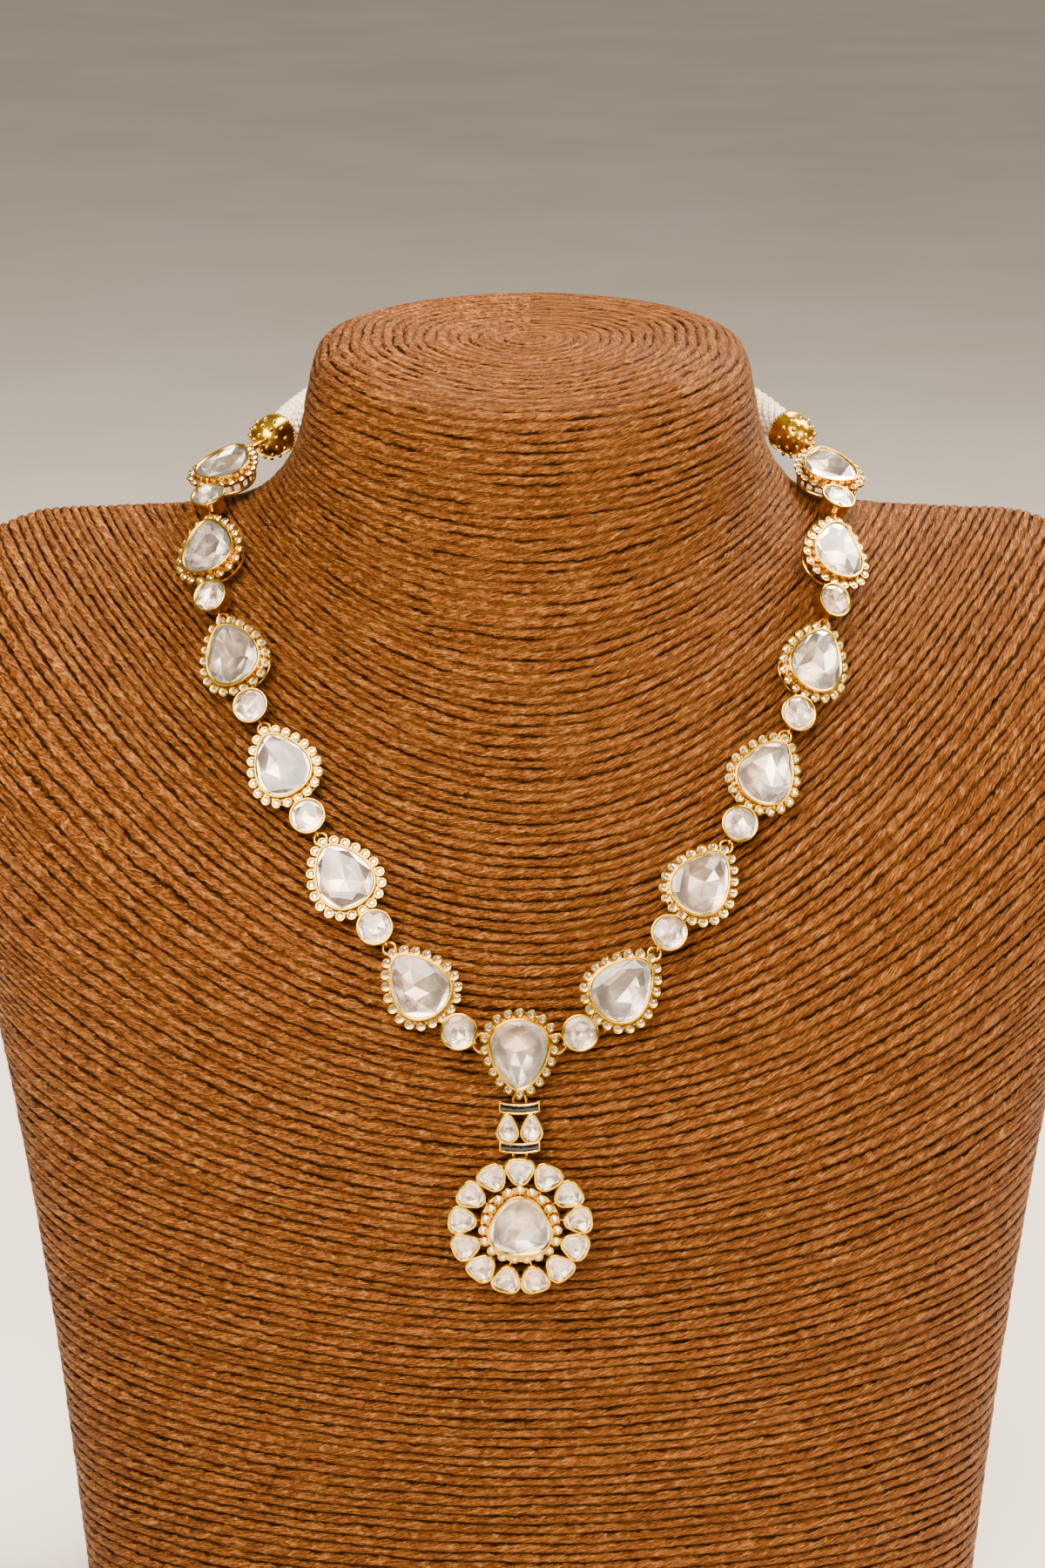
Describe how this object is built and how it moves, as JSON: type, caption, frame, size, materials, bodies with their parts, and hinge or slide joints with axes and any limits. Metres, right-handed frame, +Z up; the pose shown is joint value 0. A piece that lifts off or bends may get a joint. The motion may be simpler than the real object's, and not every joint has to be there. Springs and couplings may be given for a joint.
{
  "type": "kundan necklace on a neck bust",
  "caption": "Gold kundan necklace of pear and round stone links with haloed settings, an enamelled bail and a flower pendant, worn on a plain cord-wrapped neck bust.",
  "frame": {"origin": "on the bust's flat base, below the line where the bust is widest", "axes": "+Z up, -Y the way the breast and the pendant face, +X to the viewer's right"},
  "size_m": [0.2802, 0.1561, 0.3142],
  "materials": {
    "paper_cord": "twisted paper cord, matt",
    "gold": "polished yellow gold",
    "stone": "foil-backed, polished",
    "enamel": "glossy dark enamel",
    "seed_pearl": "soft pearl lustre"
  },
  "bodies": {
    "root": {"neck_bust": "paper_cord", "centre_setting": "gold", "centre_stone": "stone", "pear_setting_left_1": "gold", "pear_stone_left_1": "stone", "round_setting_left_1": "gold", "pear_setting_left_2": "gold", "pear_stone_left_2": "stone", "round_setting_left_2": "gold", "pear_setting_left_3": "gold", "pear_stone_left_3": "stone", "round_setting_left_3": "gold", "pear_setting_left_4": "gold", "pear_stone_left_4": "stone", "round_setting_left_4": "gold", "pear_setting_left_5": "gold", "pear_stone_left_5": "stone", "round_setting_left_5": "gold", "pear_setting_left_6": "gold", "pear_stone_left_6": "stone", "round_setting_left_6": "gold", "jump_rings_left": "gold", "end_cap_left": "gold", "pearl_rope_left": "seed_pearl", "pear_setting_right_1": "gold", "pear_stone_right_1": "stone", "round_setting_right_1": "gold", "pear_setting_right_2": "gold", "pear_stone_right_2": "stone", "round_setting_right_2": "gold", "pear_setting_right_3": "gold", "pear_stone_right_3": "stone", "round_setting_right_3": "gold", "pear_setting_right_4": "gold", "pear_stone_right_4": "stone", "round_setting_right_4": "gold", "pear_setting_right_5": "gold", "pear_stone_right_5": "stone", "round_setting_right_5": "gold", "pear_setting_right_6": "gold", "pear_stone_right_6": "stone", "round_setting_right_6": "gold", "jump_rings_right": "gold", "end_cap_right": "gold", "pearl_rope_right": "seed_pearl", "round_stones": "stone", "pendant_rings": "gold", "bail_frame": "gold", "bail_enamel": "enamel", "bail_stones": "stone", "pendant_frame": "gold", "pendant_stone": "stone", "petal_stones": "stone", "barrel_clasp": "gold"}
  },
  "joints": []
}
